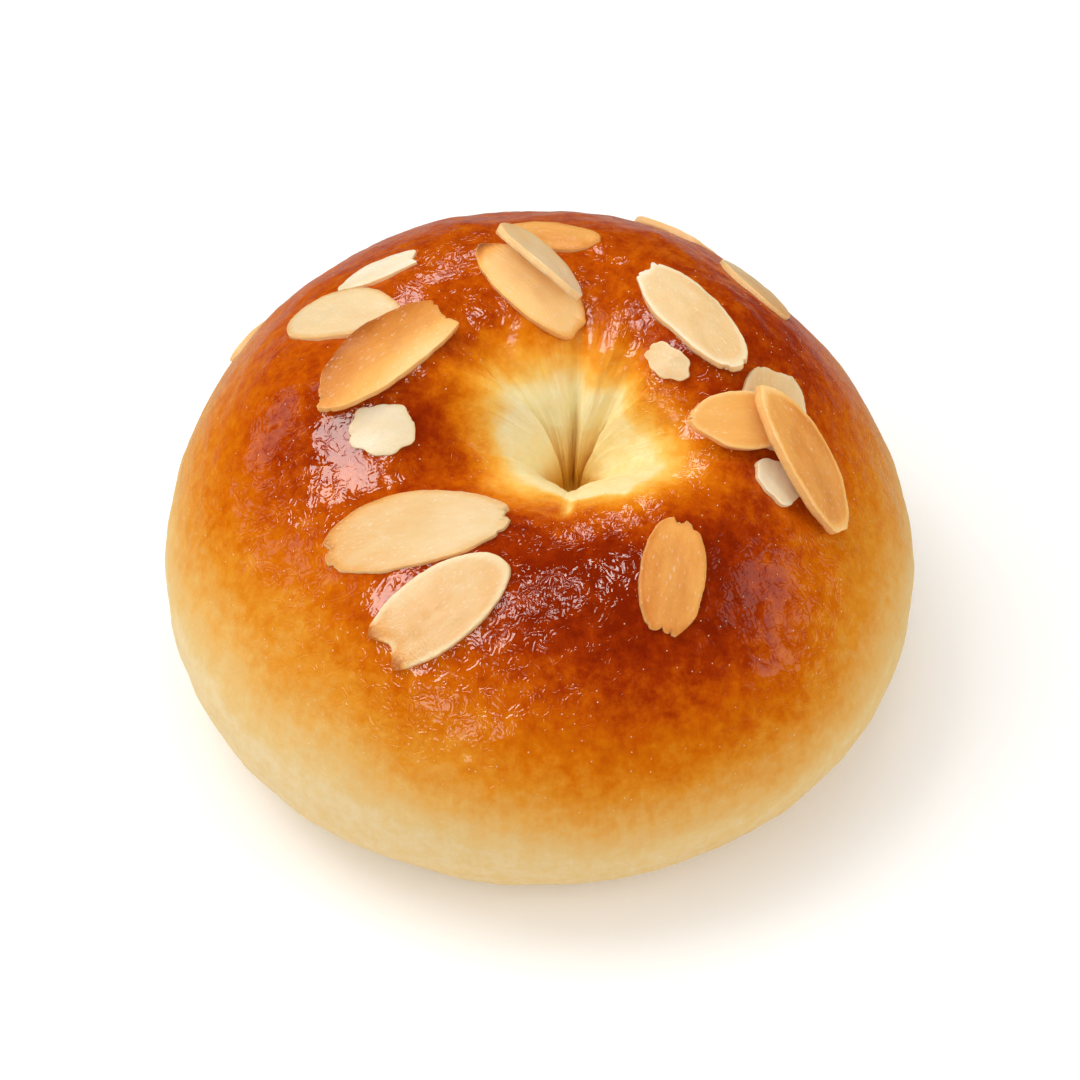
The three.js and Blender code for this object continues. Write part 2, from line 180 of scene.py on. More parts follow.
def bunTree():
    tree = newTree("bunForm", bunForm)
    add = partial(addNode, tree)
    size = add("NodeGroupInput").outputs
    rowCount = sum(bunRows.values())
    grid = add("GeometryNodeMeshGrid", {"Size X": 1, "Size Y": 1, "Vertices X": bunAround + 1,
                                        "Vertices Y": rowCount + 1})
    gridPlace = add("ShaderNodeSeparateXYZ", {0: add("GeometryNodeInputPosition")})
    turn = add("ShaderNodeMath", {0: gridPlace.outputs["X"], 1: 0.5}, operation="ADD")
    row = add("ShaderNodeMath", {0: gridPlace.outputs["Y"], 1: 0.5}, operation="ADD")

    # stage: whole numbers at the stations of the half section, with as many rows between as bunRows says
    stageCurve = add("ShaderNodeFloatCurve", {"Value": row})
    ends = np.cumsum([0] + list(bunRows.values())) / rowCount
    setCurve(stageCurve, [(float(end), i / len(bunRows)) for i, end in enumerate(ends)])
    stage = add("ShaderNodeMath", {0: stageCurve, 1: len(bunRows)}, operation="MULTIPLY")

    # half section: middle of the underside, its edge, widest ring, crest, throat, bottom of the dimple
    cupHeight = add("ShaderNodeMath", {0: size["throatHeight"], 1: size["throatCup"]}, operation="SUBTRACT")
    spots = [(0, 0), (size["baseRadius"], 0), (size["bunRadius"], size["widestHeight"]),
             (size["crestRadius"], size["crestHeight"]), (size["throatRadius"], size["throatHeight"]),
             (0, cupHeight)]
    stations = [add("ShaderNodeCombineXYZ", {"X": radius, "Z": height}) for radius, height in spots]
    # each bend's corner takes its radius and its height from two of the stations
    bends = [None, ((2, 1), "flankFullness", "flankFullness"),
             ((2, 3), "shoulderFullness", "shoulderFullness"),
             ((4, 3), "lipFullness", "throatFullness"), None]
    section = None
    for i, bend in enumerate(bends):
        start, end = stations[i], stations[i + 1]
        ways = [(start, end, 1 / 3), (end, start, 1 / 3)]
        if bend:
            (radiusFrom, heightFrom), startFull, endFull = bend
            corner = add("ShaderNodeCombineXYZ", {"X": spots[radiusFrom][0], "Z": spots[heightFrom][1]})
            ways = [(start, corner, size[startFull]), (end, corner, size[endFull])]
        handles = [add("ShaderNodeMix", {0: share, 4: near, 5: far}, data_type="VECTOR").outputs[1]
                   for near, far, share in ways]
        curve = add("GeometryNodeCurvePrimitiveBezierSegment",
                    {"Resolution": sectionSteps, "Start": start, "Start Handle": handles[0],
                     "End Handle": handles[1], "End": end})
        along = add("ShaderNodeMath", {0: stage, 1: i}, operation="SUBTRACT", use_clamp=True)
        point = add("GeometryNodeSampleCurve", {"Curves": curve, "Factor": along}, mode="FACTOR")
        reached = add("FunctionNodeCompare", {0: stage, 1: i}, operation="GREATER_EQUAL")
        section = point.outputs["Position"] if section is None else add(
            "GeometryNodeSwitch", {"Switch": reached, "False": section, "True": point.outputs["Position"]},
            input_type="VECTOR")
    spot = add("ShaderNodeSeparateXYZ", {0: section})
    radius, height = spot.outputs["X"], spot.outputs["Z"]

    # azimuth in radians, from the back round to the left
    fullTurn = add("ShaderNodeMath", {0: turn, 1: 2 * math.pi, 2: math.radians(seamAzimuth)},
                   operation="MULTIPLY_ADD")
    cosine = add("ShaderNodeMath", {0: fullTurn}, operation="COSINE")
    sine = add("ShaderNodeMath", {0: fullTurn}, operation="SINE")

    radial = add("ShaderNodeCombineXYZ", {"X": cosine, "Y": sine})
    skinRing = add("ShaderNodeVectorMath", {0: radial, "Scale": size["bunRadius"]}, operation="SCALE")
    skinDown = add("ShaderNodeMath", {0: stage, 1: skinRun}, operation="MULTIPLY")
    skinAlong = add("ShaderNodeCombineXYZ", {"Z": skinDown})
    skin = add("ShaderNodeVectorMath", {0: skinRing, 1: skinAlong}, operation="ADD")

    # lobes: swell is 0 in the creases, which wander a little, and 1 in the middle of a lobe
    wanderScale = add("ShaderNodeMath", {0: 1, 1: size["wanderSize"]}, operation="DIVIDE")
    wander = add("ShaderNodeTexNoise", {"Vector": skin, "Scale": wanderScale, "Detail": 1})
    wander = add("ShaderNodeMath", {0: wander, 1: 0.5}, operation="SUBTRACT")
    wander = add("ShaderNodeMath", {0: wander, 1: size["creaseWander"]}, operation="MULTIPLY")
    lobeTurn = add("ShaderNodeMath", {0: wander, 1: 1 / 360, 2: turn}, operation="MULTIPLY_ADD")
    lobeTurn = add("ShaderNodeMath", {0: lobeTurn}, operation="FRACT")
    turns = sorted((((azimuth - seamAzimuth) % 360) / 360, bulge) for azimuth, bulge in bunCreases)
    lobeCurve = add("ShaderNodeFloatCurve", {"Value": lobeTurn})
    setCurve(lobeCurve, [(place, k / len(turns)) for k, (place, bulge) in enumerate(turns)] + [(1, 1)])
    lobePhase = add("ShaderNodeMath", {0: lobeCurve, 1: math.pi * len(turns)}, operation="MULTIPLY")
    lobeSine = add("ShaderNodeMath", {0: lobePhase}, operation="SINE")
    swell = add("ShaderNodeMath", {0: lobeSine}, operation="ABSOLUTE")
    softSwell = add("ShaderNodeMath", {0: swell, 1: swell}, operation="MULTIPLY")
    bulgeCurve = add("ShaderNodeFloatCurve", {"Value": lobeTurn})
    steps = []
    for k, (place, bulge) in enumerate(turns):
        steps += [(max(0, place - 0.001), turns[k - 1][1]), (min(1, place + 0.001), bulge)]
    setCurve(bulgeCurve, steps)

    # how much an azimuth faces the front, where the crest dips and reaches out
    frontTurn = add("ShaderNodeMath", {0: size["frontAzimuth"]}, operation="RADIANS")
    offFront = add("ShaderNodeMath", {0: fullTurn, 1: frontTurn}, operation="SUBTRACT")
    towardsFront = add("ShaderNodeMath", {0: offFront}, operation="COSINE")
    front = add("ShaderNodeMapRange", {0: towardsFront, 1: size["frontFar"], 2: size["frontNear"]},
                interpolation_type="SMOOTHSTEP")
    inWall = add("FunctionNodeCompare", {0: stage, 1: crestStage}, operation="GREATER_EQUAL")
    shaped = add("FunctionNodeCompare", {0: stage, 1: widestStage}, operation="GREATER_EQUAL")
    foot = add("GeometryNodeSwitch", {"Switch": inWall, "False": size["widestHeight"],
                                      "True": size["throatHeight"]}, input_type="FLOAT")
    ring = add("GeometryNodeSwitch", {"Switch": inWall, "False": size["bunRadius"],
                                      "True": size["throatRadius"]}, input_type="FLOAT")
    evenSwell = add("ShaderNodeMath", {0: softSwell, 1: 0.5}, operation="SUBTRACT")
    crestShift = add("ShaderNodeMath", {0: evenSwell, 1: size["lobeSwell"]}, operation="MULTIPLY")
    frontShift = add("ShaderNodeMath", {0: front, 1: size["frontDrop"]}, operation="MULTIPLY")
    crestMove = add("ShaderNodeMath", {0: crestShift, 1: frontShift}, operation="SUBTRACT")
    nearHeight = add("ShaderNodeMapRange", {0: height, 1: foot, 2: size["crestHeight"]})
    heightMove = add("ShaderNodeMath", {0: nearHeight, 1: crestMove}, operation="MULTIPLY")
    newHeight = add("ShaderNodeMath", {0: height, 1: heightMove}, operation="ADD")

    nearCrest = add("ShaderNodeMapRange", {0: radius, 1: ring, 2: size["crestRadius"]})
    downWall = add("ShaderNodeMath", {0: 1, 1: nearCrest}, operation="SUBTRACT")
    closing = add("ShaderNodeMath", {0: downWall, 1: size["lobeOnset"]}, operation="POWER")
    closing = add("ShaderNodeMath", {0: closing, 1: inWall}, operation="MULTIPLY")
    # creases are soft high on the wall and sharp deep down
    sharpening = add("ShaderNodeMapRange", {0: stage, (1, 2): creaseSharpens})
    foldSwell = add("ShaderNodeMix", {0: sharpening, 2: softSwell, 3: swell})
    swellPast = add("ShaderNodeMath", {0: foldSwell, 1: size["creaseWidening"]}, operation="SUBTRACT")
    bulgeHere = add("ShaderNodeMath", {0: bulgeCurve, 1: size["lobeBulge"]}, operation="MULTIPLY")
    squeeze = add("ShaderNodeMath", {0: bulgeHere, 1: closing}, operation="MULTIPLY")
    squeeze = add("ShaderNodeMath", {0: squeeze, 1: swellPast}, operation="MULTIPLY")
    kept = add("ShaderNodeMath", {0: 1, 1: squeeze}, operation="SUBTRACT")
    reach = add("ShaderNodeMath", {0: front, 1: size["frontReach"]}, operation="MULTIPLY")
    reached = add("ShaderNodeMath", {0: reach, 1: nearCrest, 2: radius}, operation="MULTIPLY_ADD")
    newRadius = add("ShaderNodeMath", {0: reached, 1: kept}, operation="MULTIPLY")

    # the middle line leans, then drifts over to the dimple
    drift = add("ShaderNodeMapRange", {0: radius, 1: size["dimpleWhole"], 2: size["dimpleGone"], 3: 1, 4: 0},
                interpolation_type="SMOOTHSTEP")
    climb = add("ShaderNodeMapRange", {0: height, 1: size["widestHeight"], 2: size["crestHeight"]})
    lean = add("ShaderNodeMath", {0: climb, 1: size["crownLean"]}, operation="MULTIPLY")
    leaning = add("ShaderNodeCombineXYZ", {"X": lean})
    dimple = add("ShaderNodeCombineXYZ", {"X": size["dimpleX"], "Y": size["dimpleY"]})
    middle = add("ShaderNodeMix", {0: drift, 4: leaning, 5: dimple}, data_type="VECTOR").outputs[1]
    turned = add("ShaderNodeVectorMath", {0: radial, "Scale": radius}, operation="SCALE")
    raised = add("ShaderNodeCombineXYZ", {"Z": height})
    turned = add("ShaderNodeVectorMath", {0: turned, 1: raised}, operation="ADD")
    spread = add("ShaderNodeVectorMath", {0: radial, "Scale": newRadius}, operation="SCALE")
    raised = add("ShaderNodeCombineXYZ", {"Z": newHeight})
    spread = add("ShaderNodeVectorMath", {0: spread, 1: raised}, operation="ADD")
    spread = add("ShaderNodeVectorMath", {0: spread, 1: middle}, operation="ADD")
    place = add("GeometryNodeSwitch", {"Switch": shaped, "False": turned, "True": spread},
                input_type="VECTOR")

    # browning: up the side, and away again down the dimple, in uneven patches
    patchScale = add("ShaderNodeMath", {0: 1, 1: size["bakePatchSize"]}, operation="DIVIDE")
    patch = add("ShaderNodeTexNoise", {"Vector": place, "Scale": patchScale, "Detail": 3, "Roughness": 0.6})
    patchShift = add("ShaderNodeMath", {0: patch, 1: 0.5}, operation="SUBTRACT")
    lag = add("ShaderNodeFloatCurve", {"Value": turn})
    setCurve(lag, roundTurn([(azimuth, late + lagShift) for azimuth, late in bakeLag], 2 * lagShift))
    late = add("ShaderNodeMath", {0: lag, 1: -2 * lagShift, 2: lagShift}, operation="MULTIPLY_ADD")
    bakedHeight = add("ShaderNodeMath", {0: newHeight, 1: late}, operation="ADD")
    bakedHeight = add("ShaderNodeMath", {0: patchShift, 1: size["bakePatch"], 2: bakedHeight},
                      operation="MULTIPLY_ADD")
    climbed = add("ShaderNodeMath", {0: bakedHeight, 1: climbTop}, operation="DIVIDE")
    climbCurve = add("ShaderNodeFloatCurve", {"Value": climbed})
    setCurve(climbCurve, [(up / climbTop, share) for up, share in bakeClimb])
    depthCurve = add("ShaderNodeFloatCurve", {"Value": turn})
    setCurve(depthCurve, roundTurn(bakeDepth, 1))
    outer = add("ShaderNodeMath", {0: climbCurve, 1: depthCurve}, operation="MULTIPLY")
    fades = []
    for pairs in (bakeFades, bakeGone):
        fadeCurve = add("ShaderNodeFloatCurve", {"Value": turn})
        setCurve(fadeCurve, roundTurn([(azimuth, share + fadeShift) for azimuth, share in pairs], 1))
        fades.append(add("ShaderNodeMath", {0: fadeCurve, 1: crestStage - fadeShift}, operation="ADD"))
    patchStage = add("ShaderNodeMath", {0: patchShift, 1: size["bakePatchDown"], 2: stage},
                     operation="MULTIPLY_ADD")
    inner = add("ShaderNodeMapRange", {0: patchStage, 1: fades[0], 2: fades[1], 3: 1, 4: 0})
    ending = add("ShaderNodeMapRange", {0: towardsFront, 1: lipFar, 2: lipNear, 3: 1, 4: lipHardness})
    inner = add("ShaderNodeMath", {0: inner, 1: ending}, operation="POWER")
    notchSides = []
    for value, (start, deepest, end) in ((offFront, notchTurn), (stage, notchStage)):
        notchSides.append(add("ShaderNodeMapRange", {0: value, 1: start, 2: deepest},
                              interpolation_type="SMOOTHSTEP"))
        notchSides.append(add("ShaderNodeMapRange", {0: value, 1: deepest, 2: end, 3: 1, 4: 0},
                              interpolation_type="SMOOTHSTEP"))
    notch = notchSides[0]
    for side in notchSides[1:]:
        notch = add("ShaderNodeMath", {0: notch, 1: side}, operation="MULTIPLY")
    notchKeeps = add("ShaderNodeMath", {0: notch, 1: -notchPale, 2: 1}, operation="MULTIPLY_ADD")
    inner = add("ShaderNodeMath", {0: inner, 1: notchKeeps}, operation="MULTIPLY")
    bake = add("ShaderNodeMath", {0: outer, 1: inner}, operation="MULTIPLY")
    restCurve = add("ShaderNodeFloatCurve", {"Value": turn})
    setCurve(restCurve, roundTurn(bakeRest, 1))
    bake = add("ShaderNodeMath", {0: bake, 1: restCurve}, operation="MAXIMUM")

    mesh = grid.outputs["Mesh"]
    layers = {"bake": (bake, "FLOAT"), "skin": (skin, "FLOAT_VECTOR"), "stage": (stage, "FLOAT"),
              "notch": (notch, "FLOAT")}
    for name, (value, kind) in layers.items():
        mesh = add("GeometryNodeStoreNamedAttribute", {"Geometry": mesh, "Name": name, "Value": value},
                   data_type=kind, domain="POINT")
    mesh = add("GeometryNodeSetPosition", {"Geometry": mesh, "Position": place})
    mesh = add("GeometryNodeMergeByDistance", {"Geometry": mesh, "Distance": mergeGap})

    # lumps and ripples along the normal, none on the flat underside
    here = add("GeometryNodeInputPosition")
    above = add("ShaderNodeSeparateXYZ", {0: here}).outputs["Z"]
    upFromBase = add("ShaderNodeMapRange", {0: above, 1: lumpsFrom, 2: lumpsWhole})
    rise = 0
    for kind, detail in (("lump", 1.5), ("ripple", 2)):
        noiseScale = add("ShaderNodeMath", {0: 1, 1: size[kind + "Size"]}, operation="DIVIDE")
        noise = add("ShaderNodeTexNoise", {"Vector": here, "Scale": noiseScale, "Detail": detail})
        shift = add("ShaderNodeMath", {0: noise, 1: 0.5}, operation="SUBTRACT")
        rise = add("ShaderNodeMath", {0: shift, 1: size[kind + "Height"], 2: rise}, operation="MULTIPLY_ADD")
    rise = add("ShaderNodeMath", {0: rise, 1: upFromBase}, operation="MULTIPLY")
    dent = add("GeometryNodeInputNamedAttribute", {"Name": "notch"}, data_type="FLOAT")
    dent = add("ShaderNodeMath", {0: dent, 1: size["notchDepth"]}, operation="MULTIPLY")
    rise = add("ShaderNodeMath", {0: rise, 1: dent}, operation="SUBTRACT")
    push = add("ShaderNodeVectorMath", {0: add("GeometryNodeInputNormal"), "Scale": rise}, operation="SCALE")
    mesh = add("GeometryNodeSetPosition", {"Geometry": mesh, "Offset": push})
    mesh = add("GeometryNodeTransform", {"Geometry": mesh, "Scale": (mm, mm, mm)})
    mesh = add("GeometryNodeSetShadeSmooth", {"Geometry": mesh})
    mesh = add("GeometryNodeRealizeInstances", {"Geometry": mesh})
    mesh = add("GeometryNodeSetMaterial", {"Geometry": mesh, "Material": crustMaterial()})
    add("NodeGroupOutput", {0: mesh})
    return tree


# Bread crust, egg-washed and baked: a thin glossy wrinkled film over pale dough that browns where it is high
crustLooks = {
    "tones": [(0, "#e6ce9f"), (0.1, "#e3bf7e"), (0.26, "#e3a955"), (0.42, "#de8d25"), (0.56, "#d26e06"),
              (0.7, "#c15303"), (0.85, "#a03202"), (1, "#821f01")],
    # the dimple's tones: paler and more ivory, and painted brighter as well, standing in for light bounced
    # round inside the dimple
    "dimpleTonesWithBounce": [(0, "#f6ebba"), (0.1, "#f6df9e"), (0.22, "#f8c662"), (0.36, "#f2a534"), (0.54, "#e07c0c"),
                    (0.7, "#c15303"), (0.85, "#a03202"), (1, "#821f01")],
    # painted shade and bounced light: a deeper golden down in the pinch, where the hole is shaded and lit by
    # its own walls
    "holeShadeTone": "#f6c04a",                          # down in the pinch
    "dimpleStage": (2.85, 3.1), "holeShadeStage": (3.66, 3.92),    # where those tones come in
    "mottleSize": 1.9, "mottle": (0.24, 0.6),       # mm, share of the browning that varies on pale
    "mottleBake": (0.1, 0.8),                       # and on brown crust, and the browning of those two
    "streakTint": (0.03, 0.07),                     # how much the streaks tint bare and browner dough
    "tintBake": (0, 0.25),
    "glazeBake": (0.07, 0.48),                      # browning where the film starts and is whole
    "coat": (0.12, 0.6), "roughness": (0.55, 0.4),  # bare and glazed
    "creaseSize": 3.6, "creaseHeight": 0.28,        # mm, broad creases of the film
    "wormSize": 1.5, "wormTurns": 26,               # mm, worm-like wrinkles on them
    "wormHeight": (0.0063, 0.018), "filmPatch": 9,  # mm, weaker and stronger in patches
    # painted highlight: the blisters get pale dots that stand in for the glints the glaze throws off them
    "speckSpacing": 0.9, "speckHeight": 0.04,       # mm, the tiny pale blisters
    "speckEdge": (0.05, 0.11), "speckLeftOut": 0.5, "speckGlintTone": "#fff1d2",
    "speckGlintBake": (0.1, 0.5), "speckGlintShare": (0.2, 0.65),        # paler the browner the crust is
    "grainSize": 1.1, "grainHeight": 0.12,          # mm, soft unevenness of the bare dough
    "glazedGrain": 0.35,                            # share of it under the film
    "streakSize": 0.8, "streakStretch": 0.09,       # mm across at the widest ring
    "streakHeight": (0.03, 0.11),                   # mm, outside and on the dimple's bare wall
    "pleatSize": 3.2, "pleatStretch": 0.1, "pleatHeight": 0.18,
    "crowdedStage": (3.3, 3.65), "crowdedRelief": 0.45,       # streaks and pleats weaken towards the pinch
    "softness": 0.12, "softDepth": 1.6,             # light that goes into the dough, mm
}


def crustMaterial():
    looks = crustLooks
    material = bpy.data.materials.new("eggGlazedCrust")
    material.use_nodes = True
    tree = material.node_tree
    tree.nodes.clear()
    add = partial(addNode, tree)
    place = add("ShaderNodeTexCoord").outputs["Object"]
    bake = add("ShaderNodeAttribute", attribute_name="bake").outputs["Fac"]
    skin = add("ShaderNodeAttribute", attribute_name="skin").outputs["Vector"]

    mottle = add("ShaderNodeTexNoise", {"Vector": place, "Scale": 1 / (looks["mottleSize"] * mm), "Detail": 4,
                                        "Roughness": 0.72})
    mottleShift = add("ShaderNodeMath", {0: mottle, 1: 0.5}, operation="SUBTRACT")
    streakSpace = add("ShaderNodeMapping", {"Vector": skin, "Scale": (1, 1, looks["streakStretch"])})
    streaks = add("ShaderNodeTexNoise", {"Vector": streakSpace, "Scale": 1 / looks["streakSize"],
                                         "Detail": 3})
    streakShift = add("ShaderNodeMath", {0: streaks, 1: 0.5}, operation="SUBTRACT")
    mottleShare = add("ShaderNodeMapRange", {0: bake, (1, 2): looks["mottleBake"], (3, 4): looks["mottle"]})
    browned = add("ShaderNodeMath", {0: mottleShift, 1: mottleShare, 2: bake}, operation="MULTIPLY_ADD")
    # streaks show where the browning fades
    fading = add("ShaderNodeMapRange", {0: bake, (1, 2): looks["tintBake"], (3, 4): looks["streakTint"]})
    browned = add("ShaderNodeMath", {0: streakShift, 1: fading, 2: browned}, operation="MULTIPLY_ADD")
    ramps = []
    for key in ("tones", "dimpleTonesWithBounce"):
        ramps.append(add("ShaderNodeValToRGB", {"Fac": browned}))
        setRamp(ramps[-1], looks[key])
    stage = add("ShaderNodeAttribute", attribute_name="stage").outputs["Fac"]
    inDimple = add("ShaderNodeMapRange", {0: stage, (1, 2): looks["dimpleStage"]})
    inHoleShade = add("ShaderNodeMapRange", {0: stage, (1, 2): looks["holeShadeStage"]})
    # inside the dimple its own tones, painted brighter for bounced light
    color = add("ShaderNodeMix", {0: inDimple, 6: ramps[0], 7: ramps[1]}, data_type="RGBA").outputs[2]
    # painted shade down the hole
    color = add("ShaderNodeMix", {0: inHoleShade, 6: color, 7: hexColor(looks["holeShadeTone"])},
                data_type="RGBA").outputs[2]

    # tiny blisters: a small bump each, with pale dots painted on as highlights off the glaze
    specks = add("ShaderNodeTexVoronoi", {"Vector": place, "Scale": 1 / (looks["speckSpacing"] * mm)})
    dot = add("ShaderNodeMapRange", {0: specks.outputs["Distance"], (1, 2): looks["speckEdge"], 3: 1, 4: 0})
    lot = add("ShaderNodeSeparateColor", {0: specks.outputs["Color"]})
    chosen = add("ShaderNodeMath", {0: lot, 1: looks["speckLeftOut"]}, operation="GREATER_THAN")
    speck = add("ShaderNodeMath", {0: dot, 1: chosen}, operation="MULTIPLY")
    glintShare = add("ShaderNodeMapRange", {0: bake, (1, 2): looks["speckGlintBake"], (3, 4): looks["speckGlintShare"]})
    glintShare = add("ShaderNodeMath", {0: speck, 1: glintShare}, operation="MULTIPLY")
    color = add("ShaderNodeMix", {0: glintShare, 6: color, 7: hexColor(looks["speckGlintTone"])},
                data_type="RGBA").outputs[2]

    # film of glaze: broad creases gather the highlights, and worm-like wrinkles break them up
    glaze = add("ShaderNodeMapRange", {0: bake, (1, 2): looks["glazeBake"]}, interpolation_type="SMOOTHSTEP")
    creases = add("ShaderNodeTexNoise", {"Vector": place, "Scale": 1 / (looks["creaseSize"] * mm),
                                         "Detail": 1})
    worms = add("ShaderNodeTexNoise", {"Vector": place, "Scale": 1 / (looks["wormSize"] * mm), "Detail": 1,
                                       "Distortion": 0.8})
    worms = add("ShaderNodeMath", {0: worms, 1: looks["wormTurns"]}, operation="MULTIPLY")
    worms = add("ShaderNodeMath", {0: worms}, operation="SINE")
    patches = add("ShaderNodeTexNoise", {"Vector": place, "Scale": 1 / (looks["filmPatch"] * mm),
                                         "Detail": 1})
    patches = add("ShaderNodeMapRange", {0: patches, 1: 0.4, 2: 0.6, (3, 4): looks["wormHeight"]})
    worms = add("ShaderNodeMath", {0: worms, 1: patches}, operation="MULTIPLY")
    relief = add("ShaderNodeMath", {0: creases, 1: looks["creaseHeight"], 2: worms}, operation="MULTIPLY_ADD")
    relief = add("ShaderNodeMath", {0: relief, 1: glaze}, operation="MULTIPLY")
    relief = add("ShaderNodeMath", {0: speck, 1: looks["speckHeight"], 2: relief}, operation="MULTIPLY_ADD")
    # stretch marks, stronger on the dimple's bare wall
    uncrowded = add("ShaderNodeMapRange", {0: stage, (1, 2): looks["crowdedStage"], 3: 1,
                                           4: looks["crowdedRelief"]})
    bare = add("ShaderNodeMath", {0: 1, 1: glaze}, operation="SUBTRACT")
    bareWall = add("ShaderNodeMath", {0: inDimple, 1: bare}, operation="MULTIPLY")
    markHeight = add("ShaderNodeMapRange", {0: bareWall, (3, 4): looks["streakHeight"]})
    marks = add("ShaderNodeMath", {0: streaks, 1: markHeight}, operation="MULTIPLY")
    relief = add("ShaderNodeMath", {0: marks, 1: uncrowded, 2: relief}, operation="MULTIPLY_ADD")
    # unevenness of the dough, half hidden by the film
    unglazed = add("ShaderNodeMapRange", {0: glaze, 3: 1, 4: looks["glazedGrain"]})
    grain = add("ShaderNodeTexNoise", {"Vector": place, "Scale": 1 / (looks["grainSize"] * mm), "Detail": 2})
    grain = add("ShaderNodeMath", {0: grain, 1: looks["grainHeight"]}, operation="MULTIPLY")
    relief = add("ShaderNodeMath", {0: grain, 1: unglazed, 2: relief}, operation="MULTIPLY_ADD")
    # pleats run down the wall of the dimple
    pleatSpace = add("ShaderNodeMapping", {"Vector": skin, "Scale": (1, 1, looks["pleatStretch"])})
    pleats = add("ShaderNodeTexNoise", {"Vector": pleatSpace, "Scale": 1 / looks["pleatSize"], "Detail": 2})
    pleats = add("ShaderNodeMath", {0: pleats, 1: bareWall}, operation="MULTIPLY")
    pleats = add("ShaderNodeMath", {0: pleats, 1: uncrowded}, operation="MULTIPLY")
    relief = add("ShaderNodeMath", {0: pleats, 1: looks["pleatHeight"], 2: relief}, operation="MULTIPLY_ADD")
    bump = add("ShaderNodeBump", {"Height": relief, "Strength": 1, "Distance": mm})

    roughness = add("ShaderNodeMapRange", {0: glaze, (3, 4): looks["roughness"]})
    coat = add("ShaderNodeMapRange", {0: glaze, (3, 4): looks["coat"]})
    shader = add("ShaderNodeBsdfPrincipled", {
        "Base Color": color, "Roughness": roughness, "Normal": bump, "IOR": 1.45,
        "Specular IOR Level": 0, "Subsurface Weight": looks["softness"], "Subsurface Radius": (1, 0.5, 0.25),
        "Subsurface Scale": looks["softDepth"] * mm, "Coat Weight": coat, "Coat Roughness": 0.04,
        "Coat Normal": bump})
    add("ShaderNodeOutputMaterial", {"Surface": shader})
    return material


bunData = bpy.data.meshes.new("bun_crust")
bun = bpy.data.objects.new("bun_crust", bunData)
bpy.context.scene.collection.objects.link(bun)
bakeTree(bun, bunTree(), bunForm)
print("bun:", len(bun.data.polygons), "faces")


# Cut almond: dense pale flesh with a fine grain, toasted in blotches, with a rim that is browner on some
# slices and, as a painted highlight, paler on others
almondForm = {
    "level": 3, "rimCrease": 0.65,                  # rounding of the solid's edges
    "settle": 0.55, "sink": 0.3,                    # mm into the glaze, and how much more the underside goes
    "nickSize": 1.6, "nickDepth": 0.24, "crackSize": 2.2, "crackDepth": 0.8,
    "grainSize": 0.7, "grainHeight": 0.05, "waveSize": 3.2, "waveHeight": 0.35,
}
creaseAngle, rimAngle = math.radians(50), 0.9       # edges sharper than these are creased, and count as rim
crackWidth = 0.07                                   # in noise about zero
nickedRim = 0.6                                     # share of the way to the rim where its nicks start
rimStretch, fibreStretch = 0.2, 0.15                # of the nicks through a slice, of the grain along it
tipToasted = 0.12                                   # share of the length that the toasted left tip takes
crackedEnds = (0.42, 0.5)                           # shares of the length off the middle
patternStep = 40                                    # mm between the patterns of one slice and the next
bunHeart = np.array([0, 0, 10]) * mm                # the upper side of a slice faces away from it
almondTones = {
    "pale_almond": [(0, "#f6ebd6"), (0.3, "#efd8ad"), (0.55, "#e8c38c"), (0.78, "#e4a75c"), (1, "#bb6c26")],
    "toasted_almond": [(0, "#ffcf8a"), (0.3, "#f6b560"), (0.55, "#de8f40"), (0.8, "#b96722"), (1, "#874714")],
}
# painted light: the cut sides are warm and pale, standing in for light shining through the thin slice out of
# their shade
almondSidesLitThrough = {"pale_almond": "#f6cb8c", "toasted_almond": "#f0b76e"}
# how toasted each one is at its left tip, left end and right end, how much more along its rim (below zero a
# paler rim, a painted highlight on the rounded edge) and on its far side, and how cracked its ends are
almondToast = {
    "almond_slice_01": (0.6, -0.1, -0.12, 0.45, 0.3, 0.1),
    "almond_slice_02": (0.36, 0.46, 0.56, -0.3, 0.1, 0.7),
    "almond_slice_03": (0.5, 0.5, 0.55, -0.1, 0, 0.3),
    "almond_slice_04": (0.35, 0.26, 0.3, -0.2, -0.1, 0.6),
    "almond_slice_05": (0.3, 0.46, 0.5, -0.35, 0.1, 0.2),
    "almond_slice_06": (0.5, 0.46, 0.42, 0.1, 0.15, 1),
    "almond_slice_07": (0.72, 0.64, 0.4, 0.16, 0.12, 1),
    "almond_slice_08": (1.05, 0.62, 0.64, -0.3, -0.1, 0),
    "almond_slice_09": (0.36, 0.42, 0.44, 0.25, 0, 0.2),
    "almond_slice_10": (0.55, 0.5, 0.36, 0, 0.8, 1),
    "almond_slice_11": (0.24, 0.18, 0.16, 0, 0, 0.4),
    "almond_slice_12": (0.4, 0.42, 0.4, 0.1, 0, 0.2),
    "almond_slice_13": (0.68, 0.6, 0.36, 0, 0, 0.1),
    "almond_slice_14": (0.6, 0.6, 0.6, 0, 0, 0.2),
    "almond_slice_15": (0.45, 0.55, 0.75, 0, 0, 0.2),
    "almond_slice_16": (0.45, 0.45, 0.5, 0, 0, 0.3),
    "almond_slice_17": (0.5, 0.4, 0.5, 0.1, 0.1, 0.3),
    "almond_chip_01": (0.5, 0.46, 0.46, -0.1, 0, 0.3),
    "almond_chip_02": (0.2, 0.2, 0.26, -0.1, 0, 0.3),
    "almond_chip_03": (0.18, 0.22, 0.22, 0.1, 0, 0.3),
    "almond_chip_04": (0.3, 0.3, 0.3, 0, 0, 0.3),
}
# mm that the left and right end of a curled one stand up
almondLift = {"almond_slice_14": (1.15, 0.25), "almond_slice_16": (0.6, 0.55)}


